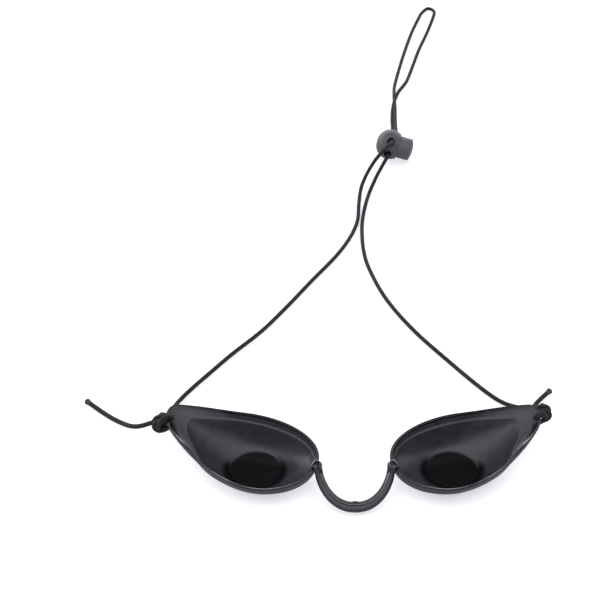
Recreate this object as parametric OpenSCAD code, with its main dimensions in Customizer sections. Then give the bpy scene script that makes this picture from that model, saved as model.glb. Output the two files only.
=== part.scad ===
// Light therapy goggles, lying on the discs of their two eye cups with the face side up.
// Millimetres. +Z is up, +Y points to the brow side and X runs from cup to cup.
// The origin is on the surface, midway between the two discs and a little to the cheek side.

/* [Eye cups] */
// Distance between the centres of the two discs
disc_pitch = 88; // [80:1:100]
// From the cup's middle, beside the disc's centre, to the nose end of the rim
nose_reach = 28.5; // [26:0.5:32]
// From the cup's middle to the ear tip
ear_reach = 40.5; // [37:0.5:46]
// How far the ear tip lies to the brow side of the cup's middle
ear_rise = 21; // [17:0.5:24]
// From the cup's middle to the brow edge of the rim
brow_reach = 22.8; // [20:0.2:26]
// From the cup's middle to the cheek edge of the rim
cheek_reach = 16.6; // [15:0.2:20]
// Height of the rim above the surface, over the cup's middle
rim_height = 14.4; // [12:0.2:18]
// How far the brow side of the rim tilts up
rim_tilt = 10.2; // [6:0.2:13]
// Wall of the bowl
wall = 1.3; // [1:0.1:1.6]
// Thickness of the rim's edge
rim_thickness = 1.4; // [1:0.1:1.8]
// Height of the collar that stands round the brow side of the bowl
collar_height = 3.8; // [3:0.1:5.4]
// Height of the lip that is left of the collar on the cheek side
lip_height = 0.8; // [0.6:0.1:1.5]
// Width of the rim from the bowl's edge outwards, on the brow side
brow_band = 2.7; // [2.4:0.1:3.6]
// Width of the rim from the bowl's edge outwards, on the cheek side
cheek_band = 1.1; // [0.9:0.1:1.6]
// What the ear flange adds to the rim's width at the ear
ear_band = 8.6; // [7:0.1:10]
// Diameter of the flat disc under each cup
disc_d = 20.5; // [19:0.5:22]
// How far the disc's centre lies to the brow side of the cup's middle
disc_rise = 1.6; // [0:0.1:2]
// How far the disc stands out of the cup's bottom
disc_step = 0.6; // [0.4:0.1:1]
// Diameter of the flat floor inside each cup
floor_d = 19.4; // [17:0.2:20]
// Thickness of the cup's bottom above the disc
floor_wall = 1.4; // [1:0.1:2]
// How far the bowl's curve turns up from its floor to its edge
bowl_turn = 66; // [55:1:80]
// How much of that turn lies in the floor's edge on the cheek side, where the wall is straighter
cheek_foot = 44; // [20:1:50]
// Distance from the ear tip in to the cord hole
ear_hole_inset = 3.2; // [3:0.1:4.5]
// Diameter of the cord hole in the ear flange
ear_hole_d = 3.2; // [3:0.1:3.6]

/* [Nose bridge] */
// Width of the bridge strap
strap_width = 5; // [4:0.1:6]
// Thickness of the bridge strap at its middle
strap_thickness = 2.8; // [2:0.1:3.4]
// Thickness of the strap's ends, where they lap the cups
lap_thickness = 2.6; // [1.8:0.1:2.8]
// Height of the strap's middle line above the surface
strap_low = 4; // [3:0.1:6]
// How far the strap's middle lies to the cheek side of its ends
strap_drop = 14.8; // [10:0.2:18]
// Where the strap's ends lie on the cups, towards the cheek side
strap_end_y = 5.2; // [4:0.1:6.6]
// Diameter of the pegs that hold the strap in the cups
peg_d = 1.7; // [1.4:0.1:2]
// Diameter of a peg's head
peg_head_d = 2.5; // [2.2:0.1:3]
// Distance between the two pegs of one end
peg_pitch = 3; // [2.6:0.1:3.4]
// Play between a peg and its hole, and between the strap and the cup
lap_play = 0.15; // [0.1:0.05:0.3]

/* [Elastic cord] */
// Diameter of the cord
cord_d = 2.2; // [1.8:0.1:2.4]
// Turns of the cord's end round itself in each knot
knot_turns = 2; // [1:1:3]
// Space between neighbouring turns of a knot, and from them to the cord inside
knot_play = 0.5; // [0.45:0.05:0.8]

/* [Cord lock] */
// Largest diameter of the lock's body
lock_d = 17; // [16:0.5:20]
// Radius of the rounding at the closed end of the lock's body
lock_round = 7.6; // [7:0.2:7.8]
// From the cord holes to the closed end of the body
lock_back = 8; // [7.6:0.1:8.6]
// From the cord holes to the open end of the body
lock_front = 4.6; // [4.6:0.1:6.5]
// Diameter of the collar round the button
lock_collar_d = 14.4; // [14.2:0.1:15.4]
// Distance between the two cord holes
hole_pitch = 8; // [7:0.1:8.2]
// Diameter of the cord holes
hole_d = 3.8; // [3.4:0.1:4.2]
// Widening of the cord holes at their mouths
hole_flare = 0.6; // [0.3:0.1:0.8]
// Diameter of the button
button_d = 12.4; // [11.8:0.1:13]
// How far the button stands out of the body
button_out = 8.4; // [6:0.2:8.6]
// Height of the dome on the button's end
button_dome = 1.4; // [1:0.1:2]
// How far the button can be pressed in
button_travel = 2.2; // [1.8:0.1:2.6]
// Thickness of the bar that pinches the cords
bar_thickness = 1.5; // [1.2:0.1:1.6]
// Play round the button in its bore
button_play = 0.2; // [0.15:0.05:0.3]
// Play between the cords and what pinches them
pinch_play = 0.2; // [0.15:0.05:0.3]
// Wire of the spring behind the button
wire_d = 0.45; // [0.35:0.05:0.5]
// Outside diameter of the spring
spring_d = 4.7; // [4:0.1:5]
// Turns of the spring
spring_turns = 3; // [2:0.5:3]
// How far the lock turns from the Y axis, seen from above
lock_yaw = 10; // [0:1:20]
// How far the lock's cord holes point down towards the loop
lock_pitch = 20; // [0:1:24]
// How far the lock rolls over to its button
lock_roll = 10; // [0:1:12]

/* [Hidden] */

cut = 0.01; // how far a cutter reaches past the face that it opens
$fn = 64;

// Vectors and curves
function unit(v) = v / norm(v);
function mix(a, b, t) = a + (b - a) * t;
function bell(x, width) = exp(-pow(x / width, 2));
function bezier(p, t) = p[0] * pow(1 - t, 3) + 3 * p[1] * t * pow(1 - t, 2)
    + 3 * p[2] * t * t * (1 - t) + p[3] * t * t * t;
function between(p0, p1, p2, p3, t) = 0.5 * (2 * p1 + (p2 - p0) * t
    + (2 * p0 - 5 * p1 + 4 * p2 - p3) * t * t + (3 * p1 - p0 - 3 * p2 + p3) * t * t * t);

// A smooth line through the points. Each stretch between two of them is cut into parts of no
// more than about the length reach.
function smooth(p, reach) = let (n = len(p) - 1)
    [for (i = [0 : n - 1]) let (steps = max(1, round(norm(p[i + 1] - p[i]) / reach)))
        for (k = [0 : steps - 1])
            between(p[max(i - 1, 0)], p[i], p[i + 1], p[min(i + 2, n)], k / steps),
    p[n]];
function tangent(p, i) = unit(p[min(i + 1, len(p) - 1)] - p[max(i - 1, 0)]);
function across(v, t) = unit(v - t * (v * t));

// How far each point of the line lies along it
function way(p) = [for (i = 0, s = 0; i < len(p);
    i = i + 1, s = i < len(p) ? s + norm(p[i] - p[i - 1]) : s) s];

// The least gap of a tube along the line p to itself, between places more than apart away
function least_gap(p, d, apart) = let (s = way(p)) min([for (i = [0 : len(p) - 2], j = [i + 1 : len(p) - 1])
    if (s[j] - s[i] > apart) norm(p[i] - p[j])]) - d;

// A tube of so many sides along the line p, or along a part of it
module tube(p, d, sides = 8, first = 0, last = -1) {
    n = len(p);
    end = last < 0 ? n - 1 : last;
    normals = [for (i = 0, u = across([0.02, 0.03, 1], tangent(p, 0)); i < n;
        i = i + 1, u = i < n ? across(u, tangent(p, i)) : u) u];
    points = [for (i = [first : end], k = [0 : sides - 1])
        let (t = tangent(p, i), u = normals[i], v = cross(t, u), a = k * 360 / sides)
        p[i] + d / 2 * (u * cos(a) + v * sin(a))];
    skin(points, end - first + 1, sides);
}

// A closed solid whose points lie in n rings of so many points each
module skin(points, n, sides) {
    polyhedron(points, concat(
        [for (i = [0 : n - 2], k = [0 : sides - 1]) let (a = i * sides, m = (k + 1) % sides)
            each [[a + k, a + sides + k, a + m], [a + m, a + sides + k, a + sides + m]]],
        [for (k = [1 : sides - 2]) [0, k, k + 1]],
        [for (k = [1 : sides - 2]) let (a = (n - 1) * sides) [a, a + k + 1, a + k]]));
}

// The rim, drawn for the right cup from above. The cup's middle is at 0, 0.
rim_slope = tan(rim_tilt);
ear_angle = atan2(ear_rise, ear_reach);
ear_corner = [ear_reach - 5.5, ear_rise + 5.3];
ear_cheek = [ear_reach - 2, ear_rise - 6.5];
rim_curves = [
    [[-nose_reach, 0], [-nose_reach, 10], [-14, brow_reach - 3.3], [4, brow_reach - 0.8]],
    [[4, brow_reach - 0.8], [14, brow_reach + 0.6], [ear_corner[0] - 9, ear_corner[1] - 0.4], ear_corner],
    [ear_corner, ear_corner + [4, 0.2], [ear_reach + 1.2, ear_rise + 1], ear_cheek],
    [ear_cheek, ear_cheek - [8, 13], [14, -cheek_reach], [-4, -cheek_reach]],
    [[-4, -cheek_reach], [-18, -cheek_reach], [-nose_reach, -9], [-nose_reach, 0]]];
rim_steps = [14, 12, 10, 16, 14];
rim = [for (c = [0 : len(rim_curves) - 1], k = [0 : rim_steps[c] - 1])
    bezier(rim_curves[c], k / rim_steps[c])];
around = len(rim);

ear_spread = 21; // how far, in degrees, the ear flange reaches along the rim

// How wide the rim is and how far the bowl's edge lies under it, at an angle from the cup's middle
function brow_share(a) = (1 + cos(a - 105)) / 2;
function band(a) = mix(cheek_band, brow_band, brow_share(a))
    + ear_band * bell(a - ear_angle, ear_spread);
function drop(a) = mix(lip_height, collar_height, pow(brow_share(a), 0.6));
function rim_z(y) = rim_height + rim_slope * y;

// The rings of the cup. Each gives one point for the rim's point p.
function heading(p) = atan2(p[1], p[0]);
function inwards(p, by) = p - unit(p) * by;
function bowl_edge(p) = let (a = heading(p), e = inwards(p, band(a))) [e[0], e[1], rim_z(p[1]) - drop(a)];
function outer_edge(p) = let (a = heading(p), e = inwards(p, max(band(a) - wall, 0.1 * band(a))))
    [e[0], e[1], rim_z(p[1]) - drop(a) - rim_thickness];
function dome(p, r, z, edge, s) = let (foot = [0, disc_rise] + unit(p) * r,
    low = mix(cheek_foot, 0, brow_share(heading(p))), turn = mix(low, bowl_turn, s),
    grow = (sin(turn) - sin(low)) / (sin(bowl_turn) - sin(low)),
    rise = (cos(low) - cos(turn)) / (cos(low) - cos(bowl_turn)))
    [mix(foot[0], edge[0], grow), mix(foot[1], edge[1], grow), mix(z, edge[2], rise)];
function rim_point(p, in, down) = let (e = inwards(p, in)) [e[0], e[1], rim_z(p[1]) - down];
edge_width = 1.2; // width of the rim's top
edge_round = 0.35; // how deep the rim's top is rounded
ledge_width = 0.9; // width of the ledge at the collar's foot
ledge_fall = 0.1; // how far the ledge falls to the bowl's edge
function top_in(a) = min(edge_width, 0.6 * band(a));
function ledge_in(a) = band(a) - min(ledge_width, 0.3 * band(a));
bowl_rings = 7;
floor_z = disc_step + floor_wall;
disc_margin = 0.5; // width of the flat that the disc stands on, round the disc
cup_rings = concat(
    [for (s = [0 : bowl_rings]) [for (p = rim)
        dome(p, floor_d / 2, floor_z, bowl_edge(p), s / bowl_rings)]],
    [[for (p = rim) let (a = heading(p)) rim_point(p, ledge_in(a), drop(a) - ledge_fall)],
    [for (p = rim) rim_point(p, top_in(heading(p)), edge_round)],
    [for (p = rim) rim_point(p, 0.7 * top_in(heading(p)), 0)],
    [for (p = rim) rim_point(p, 0.3 * top_in(heading(p)), 0)],
    [for (p = rim) rim_point(p, 0, edge_round)],
    [for (p = rim) rim_point(p, 0, rim_thickness)]],
    [for (s = [0 : bowl_rings]) [for (p = rim)
        dome(p, disc_d / 2 + disc_margin, disc_step, outer_edge(p), 1 - s / bowl_rings)]]);

// Where the strap's end meets the right cup, and the way that its pegs point
function nearest_rim(y) = [for (p = rim) if (p[0] < 0 && abs(p[1] - y) < 1.3) p][0];
lap_at = nearest_rim(-strap_end_y);
peg_down = 1.3; // how far the pegs lie under the rim's top
peg_turn = 24; // the pegs point this far from the X axis, square to the wall
lap_wall = let (a = heading(lap_at))
    mix(top_in(a), ledge_in(a), (peg_down - edge_round) / (drop(a) - edge_round));

ear_hole = (norm([ear_reach, ear_rise]) - ear_hole_inset) * unit([ear_reach, ear_rise]);
module ear_bore() {
    translate([ear_hole[0], ear_hole[1], 0])
        cylinder(d = ear_hole_d, h = rim_z(ear_rise) + 5);
}
module peg_places() {
    translate([lap_at[0], -strap_end_y, rim_z(-strap_end_y) - peg_down])
        rotate([0, 0, peg_turn])
        for (side = [-1, 1])
            translate([0, side * peg_pitch / 2, 0])
            rotate([0, 90, 0])
            children();
}

// One cup, for the right eye
module cup() {
    difference() {
        union() {
            skin([for (ring = cup_rings) each ring], len(cup_rings), around);
            translate([0, disc_rise, 0])
                cylinder(d = disc_d, h = disc_step + floor_wall / 2);
        }
        ear_bore();
        peg_places()
            translate([0, 0, -wall])
            cylinder(d = peg_d + 2 * lap_play, h = lap_wall + 2 * wall);
    }
}
module right_side() {
    translate([disc_pitch / 2, 0, 0])
        children();
}
module eye_cup_right() {
    color([0.06, 0.06, 0.07])
        right_side()
        cup();
}
module eye_cup_left() {
    color([0.06, 0.06, 0.07])
        mirror([1, 0, 0])
        right_side()
        cup();
}

// The bridge strap is a U between the cups, drawn forward and down to the nose's cheek side
lap_gap = 0.3; // what the cup's curve takes of the space between it and the strap
peg_head_h = 0.8;
peg_head_play = 0.35; // from the wall's inner face to a peg's head, as the wall is curved
strap_x = disc_pitch / 2 + lap_at[0] - lap_play - lap_thickness / 2 - lap_gap;
strap_top = rim_z(-strap_end_y) - 0.2;
strap_squareness = 2.2;
strap_rings = 36;
strap_sides = 12;
function strap_line(q) = let (e = 2 / strap_squareness, deep = pow(sin(q), e))
    [sign(cos(q)) * strap_x * pow(abs(cos(q)), e), -strap_end_y - strap_drop * pow(deep, 1.4),
    mix(strap_top, strap_low, deep)];
function strap_ring(i) = let (q = i * 180 / strap_rings, p = strap_line(q),
    t = strap_line(min(q + 1, 180)) - strap_line(max(q - 1, 0)),
    w = unit([-tan(peg_turn) * cos(q), 1, 0]),
    n = unit(cross(t, w)),
    thick = mix(lap_thickness, strap_thickness, min(1, 1.5 * sin(q))))
    [for (k = [0 : strap_sides - 1]) let (a = (k + 0.5) * 360 / strap_sides)
        p + w * strap_width / 2 * sign(cos(a)) * pow(abs(cos(a)), 0.7)
        + n * thick / 2 * sign(sin(a)) * pow(abs(sin(a)), 0.7)];
module nose_bridge() {
    color([0.07, 0.07, 0.08]) {
        skin([for (i = [0 : strap_rings]) each strap_ring(i)], strap_rings + 1, strap_sides);
        right_side()
            peg_places()
            bridge_peg();
        mirror([1, 0, 0])
            right_side()
            peg_places()
            bridge_peg();
    }
}
module bridge_peg() {
    root = lap_thickness / 2 + lap_play + lap_gap;
    seat = lap_wall + peg_head_play + lap_play;
    translate([0, 0, -root])
        cylinder(d = peg_d, h = root + seat + cut);
    translate([0, 0, seat])
        cylinder(d1 = peg_head_d, d2 = peg_d, h = peg_head_h);
}

// The lock lies with its cord holes along the doubled cord. Its own X axis is the button's
// axis, its Y axis runs along the cord and its origin is between the two cord holes.
round_r = lock_d / 2 - lock_round;
round_x = lock_round - lock_back;
function lock_outline(x) = max(x > round_x ? lock_collar_d / 2 : 0,
    round_r + sqrt(max(0, pow(lock_round, 2) - pow(x - round_x, 2))));
lock_fall = sin(lock_roll) * cos(lock_pitch); // how steeply the lock's X axis falls
lock_low = max([for (x = [-lock_back : 0.1 : lock_front])
    x * lock_fall + lock_outline(x) * sqrt(1 - pow(lock_fall, 2))]);
lock_slide = 6; // how far the lock can slide towards the loop before it meets the surface
lock_place = [27.9, 235, lock_low + lock_slide * sin(lock_pitch)];
module lock_frame() {
    translate(lock_place)
        rotate([0, 0, -lock_yaw])
        rotate([-lock_pitch, 0, 0])
        rotate([0, lock_roll, 0])
        children();
}
function turned(a, b, angle) = [a * cos(angle) - b * sin(angle), a * sin(angle) + b * cos(angle)];
function lock_point(p) = let (
    zx = turned(p[2], p[0], lock_roll),
    yz = turned(p[1], zx[0], -lock_pitch),
    xy = turned(zx[1], yz[0], -lock_yaw))
    lock_place + [xy[0], xy[1], yz[1]];

cord_x = hole_d / 2 - cord_d / 2 - pinch_play;
bar_x = cord_x - cord_d / 2 - pinch_play;
window_x = cord_x + cord_d / 2 + pinch_play + button_travel;
window_z = hole_pitch / 2 + cord_d / 2 + pinch_play;
button_in = bar_x - bar_thickness;
button_chamfer = 1.2;
bore_end = button_in - button_travel - button_play;
pocket_d = spring_d + 0.6;
spring_back = bore_end - 1.4;
spring_front = button_in + 0.7;

module along_x() {
    rotate([0, 90, 0])
        children();
}
module lock_body() {
    color([0.10, 0.10, 0.11])
        lock_frame()
        difference() {
            along_x()
                rotate_extrude()
                lock_profile();
            along_x()
                translate([0, 0, bore_end + button_chamfer])
                cylinder(d = button_d + 2 * button_play, h = lock_front + lock_back);
            along_x()
                translate([0, 0, bore_end])
                cylinder(d1 = button_d + 2 * button_play - 2 * button_chamfer,
                    d2 = button_d + 2 * button_play, h = button_chamfer + cut);
            along_x()
                translate([0, 0, spring_back])
                cylinder(d = pocket_d, h = lock_back);
            for (side = [-1, 1])
                translate([0, 0, side * hole_pitch / 2])
                cord_bore();
        }
}
module lock_profile() {
    intersection() {
        translate([round_r, round_x])
            circle(r = lock_round);
        translate([0, -lock_back])
            square([lock_d, lock_back + lock_front]);
    }
    translate([0, -lock_back])
        square([round_r, lock_back + lock_front]);
    translate([0, round_x])
        square([lock_collar_d / 2, lock_front - round_x]);
}
module cord_bore() {
    rotate([90, 0, 0])
        cylinder(d = hole_d, h = lock_d + 2, center = true);
    mouth = sqrt(pow(lock_d / 2, 2) - pow(hole_pitch / 2, 2)) - 1;
    for (turn = [90, -90])
        rotate([turn, 0, 0])
        translate([0, 0, mouth])
        cylinder(d1 = hole_d, d2 = hole_d + 4 * hole_flare, h = 2 * hole_flare + 1);
}
module lock_button() {
    color([0.09, 0.09, 0.10])
        lock_frame()
        difference() {
            along_x()
                rotate_extrude()
                button_profile();
            translate([bar_x, -button_d / 2 - 1, -window_z])
                cube([window_x - bar_x, button_d + 2, 2 * window_z]);
            along_x()
                translate([0, 0, button_in - cut])
                cylinder(d = pocket_d, h = spring_front - button_in + cut);
        }
}
button_end = lock_front + button_out;
dome_r = (pow(button_d / 2, 2) + pow(button_dome, 2)) / (2 * button_dome);
module button_profile() {
    polygon([[0, button_in], [button_d / 2 - button_chamfer, button_in],
        [button_d / 2, button_in + button_chamfer],
        [button_d / 2, button_end - button_dome], [0, button_end - button_dome]]);
    intersection() {
        translate([0, button_end - dome_r])
            circle(r = dome_r, $fn = 256);
        translate([0, button_end - button_dome])
            square([button_d / 2, button_dome]);
    }
}
spring_play = 0.1;
spring_line = let (
    r = (spring_d - wire_d) / 2,
    x0 = spring_back + wire_d / 2 + spring_play,
    x1 = spring_front - wire_d / 2 - spring_play,
    n = ceil(8 * spring_turns))
    [for (i = [0 : n]) let (a = i * 360 * spring_turns / n)
        lock_point([mix(x0, x1, i / n), r * cos(a), r * sin(a)])];
module lock_spring() {
    color([0.7, 0.7, 0.72])
        tube(spring_line, wire_d, 6);
}

// Each knot: the cord comes in along its core, goes over the ear tip and down through the hole,
// comes back under the flange and turns round the core. Its own origin is the core's middle.
cord_r = cord_d / 2;
knot_half = 5; // half of the core's straight length
knot_r = (cord_d + knot_play) / cos(180 / 8); // the turns have 8 straight parts each
knot_pitch = knot_r;
knot_out = 2.8; // from the ear tip out to the core
flange_top = rim_z(ear_rise);
knot_at = [disc_pitch / 2 + ear_reach + knot_out, ear_rise,
    flange_top - rim_thickness - knot_r - cord_r - knot_play];
function over(x, y) = [x, y, rim_z(y) + cord_r + 0.3];
hole_at = [disc_pitch / 2 + ear_hole[0], ear_hole[1], flange_top];
knot_eye = [
    knot_at + [0, knot_half, 0],
    knot_at + [0, knot_half - cord_d, 0],
    knot_at + [0, -knot_half + 1, 0],
    knot_at + [-0.4, -knot_half - 1.8, 1.6],
    knot_at + [-2.2, -knot_half - 3, 4.6],
    over(knot_at[0] - 4.2, ear_rise - 5.6),
    over(hole_at[0] + 0.3, ear_rise - 2.8),
    hole_at + [0, 0, -0.6],
    hole_at + [0, 0, -3],
    hole_at + [0.6, -0.6, -6],
    knot_at + [-2.7, -3.4, -2]];
helix_start = -knot_half + 2.6;
function knot_turn(a) = knot_at + [knot_r * sin(a), helix_start + knot_pitch * a / 360, -knot_r * cos(a)];
knot_last = knot_turn(360 * knot_turns);
knot_line = concat(smooth(knot_eye, cord_d), [for (a = [0 : 45 : 360 * knot_turns]) knot_turn(a)],
    [knot_last + [cord_r, 0, 0], knot_last + [cord_d, 0, 0]]);
tail_exit = knot_line[len(knot_line) - 1];
module knot() {
    tube(knot_line, cord_d);
}
module cord_knot_right() {
    color([0.12, 0.12, 0.13])
        knot();
}
module cord_knot_left() {
    color([0.12, 0.12, 0.13])
        mirror([1, 0, 0])
        knot();
}

// The cord's route: up from the left knot, through the lock, round the loop and back
lock_clear = lock_d / 2 + 1;
strand_left = [[-87, 31, 10.9], [-85.8, 34.5, 7], [-83.8, 39.5, 3.2], [-81, 44.5, 1.4],
    [-76, 52, 1.1], [-67, 63.5, 1.1], [-57, 76, 1.1], [-43, 92, 1.1], [-31, 109, 1.1],
    [-18, 129, 1.1], [-5, 148.5, 1.1], [3, 164, 1.1], [7.4, 178, 1.1], [8.6, 192, 1.1],
    [10, 204, 1.8], [12, 210.6, 3.6], [14.6, 215.6, 6.2], [18, 219.4, 10.2], [21.6, 221.2, 14.6],
    [25, 223.4, 17.4]];
loop_out = [[32.4, 262, 5.4], [32.9, 272, 3.7], [33.3, 282, 3.4], [33.4, 291, 3.4], [33.6, 297, 3],
    [34, 303, 1.8], [34.8, 310, 1.1], [38.2, 326.5, 1.1], [41.9, 343, 1.1], [48.5, 369, 1.1],
    [54.5, 388, 1.1], [57.5, 396, 1.1], [62, 401.5, 1.1]];
loop_back = [[65.8, 397.5, 1.1], [64, 388, 1.1], [58.5, 369, 1.1], [52.5, 350.5, 1.1], [47.7, 333, 1.1],
    [43, 316, 1.1], [40, 309, 1.1], [36.9, 303, 1.1], [34.9, 297, 1.1], [33.3, 291, 1.1],
    [31.9, 282, 1.1], [31.2, 272, 1.1], [31, 262, 1.4]];
strand_right = [[24.8, 222.8, 9.2], [22.4, 219.6, 6.4], [19.6, 215, 3.7], [17.4, 210, 2],
    [15.4, 204.5, 1.1], [13, 195, 1.1], [10.8, 183, 1.1], [9.6, 170, 1.1], [10, 152, 1.1],
    [13, 136, 1.1], [20.5, 114.5, 1.1], [33, 92, 1.1], [49, 70, 1.1], [61.5, 54, 1.1],
    [70.5, 43.6, 1.1], [76.5, 39.4, 2.4], [81, 36.6, 5], [84.4, 33.6, 8.4], [86.7, 30.9, 11.3]];
function in_lock(y, side) = lock_point([cord_x, y, side * hole_pitch / 2]);
function left(p) = [-p[0], p[1], p[2]];
knot_end = knot_at + [0, knot_half, 0];
knot_lead = knot_end + [0, cord_d, 0];
cord_route = concat(
    [left(knot_end), left(knot_lead)], strand_left,
    [in_lock(-lock_clear, 1), in_lock(0, 1), in_lock(lock_clear + lock_slide, 1)], loop_out,
    loop_back, [in_lock(lock_clear + lock_slide, -1), in_lock(0, -1), in_lock(-lock_clear, -1)],
    strand_right, [knot_lead, knot_end]);
cord_reach = 14.5; // length of one part of the tube
function on_surface(p) = [p[0], p[1], max(p[2], cord_r)];
cord_line = [for (p = smooth(cord_route, cord_reach)) on_surface(p)];

// The cord is one, but where it leaves the surface for the lock it is a piece of its own
function ring_at(p) = [for (i = [0 : len(cord_line) - 1])
    if (norm([cord_line[i][0] - p[0], cord_line[i][1] - p[1]]) < cut) i][0];
cord_parts = [0, ring_at(strand_left[13]), ring_at(loop_out[6]), ring_at(loop_back[6]),
    ring_at(strand_right[5]), len(cord_line) - 1];
module cord_part(i) {
    color([0.12, 0.12, 0.13])
        tube(cord_line, cord_d, first = cord_parts[i], last = cord_parts[i + 1]);
}
module cord_strand_left() {
    cord_part(0);
}
module cord_run_out() {
    cord_part(1);
}
module cord_loop() {
    cord_part(2);
}
module cord_run_back() {
    cord_part(3);
}
module cord_strand_right() {
    cord_part(4);
}

// The free ends past the knots
tail_lead = tail_exit + [cord_d, 0, 0];
tail_left = [[-95, 23.6, 8], [-98.6, 24.4, 6.2], [-102, 26.4, 4.4], [-105.4, 29.2, 2.8],
    [-109, 32.2, 1.6], [-112.6, 35, 1.1], [-118.4, 39.8, 1.1], [-124.6, 44.8, 1.1]];
tail_right = [[93, 25, 9.8], [93.4, 29, 10.4], [90.6, 33, 10.6], [87.4, 36.4, 9.9],
    [87, 40.4, 8.6], [89.6, 44, 7.6], [93.4, 47.4, 6.6]];
module tail(route) {
    color([0.12, 0.12, 0.13])
        tube([for (p = smooth(route, 2 * cord_d)) on_surface(p)], cord_d);
}
module cord_tail_left() {
    tail(concat([left(tail_exit), left(tail_lead)], tail_left));
}
module cord_tail_right() {
    tail(concat([tail_exit, tail_lead], tail_right));
}

echo(least_gap_of_the_spring = least_gap(spring_line, wire_d, 4 * wire_d));
echo(least_gap_of_a_knot = least_gap(knot_line, cord_d, 2.5 * cord_d));
echo(least_gap_of_the_cord = least_gap(cord_line, cord_d, 4 * cord_d));

eye_cup_left();
eye_cup_right();
nose_bridge();
cord_strand_left();
cord_run_out();
cord_loop();
cord_run_back();
cord_strand_right();
cord_knot_left();
cord_knot_right();
cord_tail_left();
cord_tail_right();
lock_body();
lock_button();
lock_spring();
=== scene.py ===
"""Light therapy goggles: two moulded eye cups, the nose bridge that joins them and the elastic
cord with its sprung lock. Sizes are in millimetres, as in the part's own source, and every mesh
is turned into metres when it is made. The goggles lie on the discs of their cups, face side up.
"""
import math

import bpy
import numpy as np
from mathutils import Matrix, Vector


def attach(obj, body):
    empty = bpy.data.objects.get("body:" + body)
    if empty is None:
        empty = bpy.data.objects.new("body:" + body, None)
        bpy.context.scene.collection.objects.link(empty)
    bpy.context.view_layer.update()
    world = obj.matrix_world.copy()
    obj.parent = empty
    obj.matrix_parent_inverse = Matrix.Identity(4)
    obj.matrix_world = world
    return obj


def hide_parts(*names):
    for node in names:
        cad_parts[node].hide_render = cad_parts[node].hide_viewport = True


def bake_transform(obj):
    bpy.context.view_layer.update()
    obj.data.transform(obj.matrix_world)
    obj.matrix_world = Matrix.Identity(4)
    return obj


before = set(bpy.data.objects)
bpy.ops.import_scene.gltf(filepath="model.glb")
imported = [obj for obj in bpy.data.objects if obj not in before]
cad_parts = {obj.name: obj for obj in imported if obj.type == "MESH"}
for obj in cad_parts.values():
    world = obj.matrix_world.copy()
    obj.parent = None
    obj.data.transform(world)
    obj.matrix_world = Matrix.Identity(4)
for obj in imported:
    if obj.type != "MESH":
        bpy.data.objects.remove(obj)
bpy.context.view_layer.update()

MM = 0.001


# ---- Camera ----

CAMERA_AT = (-0.0239, -0.3701, 0.453)
CAMERA_DOWN = 43  # degrees below level, along +Y
LENS, SENSOR_WIDTH = 78, 36


def set_up_camera():
    """The photograph looks down at the goggles from the cheek side."""
    data = bpy.data.cameras.new("camera")
    data.lens = LENS
    data.sensor_width = SENSOR_WIDTH
    data.sensor_fit = "HORIZONTAL"
    data.clip_start = 0.02
    camera = bpy.data.objects.new("camera", data)
    camera.location = CAMERA_AT
    camera.rotation_euler = (math.radians(90 - CAMERA_DOWN), 0, 0)
    bpy.context.scene.collection.objects.link(camera)
    bpy.context.scene.camera = camera


set_up_camera()


# ---- Lines, sections and meshes ----

MOST_OF_EDGE = 0.48  # what a rounded corner may take of an edge
SHARP_FROM = 38  # degrees between two faces whose edge is shaded sharp


def unit(v):
    return v / np.linalg.norm(v)


def mix(a, b, t):
    return a + (b - a) * t


def bell(x, width):
    return np.exp(-(x / width) ** 2)


def between(p0, p1, p2, p3, t):
    """A point of the smooth curve from p1 to p2, which comes from p0 and goes on to p3."""
    return 0.5 * (2 * p1 + (p2 - p0) * t + (2 * p0 - 5 * p1 + 4 * p2 - p3) * t * t
                  + (3 * p1 - p0 - 3 * p2 + p3) * t ** 3)


def smooth_line(points, reach):
    """A smooth line through the points, with a point at about every reach."""
    p = np.array(points, float)
    n = len(p) - 1
    line = []
    for i in range(n):
        steps = max(1, round(np.linalg.norm(p[i + 1] - p[i]) / reach))
        line += [between(p[max(i - 1, 0)], p[i], p[i + 1], p[min(i + 2, n)], k / steps)
                 for k in range(steps)]
    return np.array(line + [p[n]])


def way_along(line):
    """How far along the line each of its points lies."""
    return np.concatenate([[0], np.cumsum(np.linalg.norm(np.diff(line, axis=0), axis=1))])


def rounded(corners, radii, steps):
    """The corners' line with each inner corner turned into a curve. A corner's radius is how
    far before it the curve begins, and the steps are the curve's points."""
    out = [corners[0]]
    for i, radius in enumerate(radii, 1):
        before, here, after = corners[i - 1], corners[i], corners[i + 1]
        back, on = before - here, after - here
        far_back, far_on = max(np.linalg.norm(back), 1e-6), max(np.linalg.norm(on), 1e-6)
        start = here + back / far_back * min(radius, MOST_OF_EDGE * far_back)
        end = here + on / far_on * min(radius, MOST_OF_EDGE * far_on)
        for t in np.linspace(0, 1, steps):
            out.append((1 - t) ** 2 * start + 2 * t * (1 - t) * here + t * t * end)
    out.append(corners[-1])
    return np.array(out)


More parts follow.
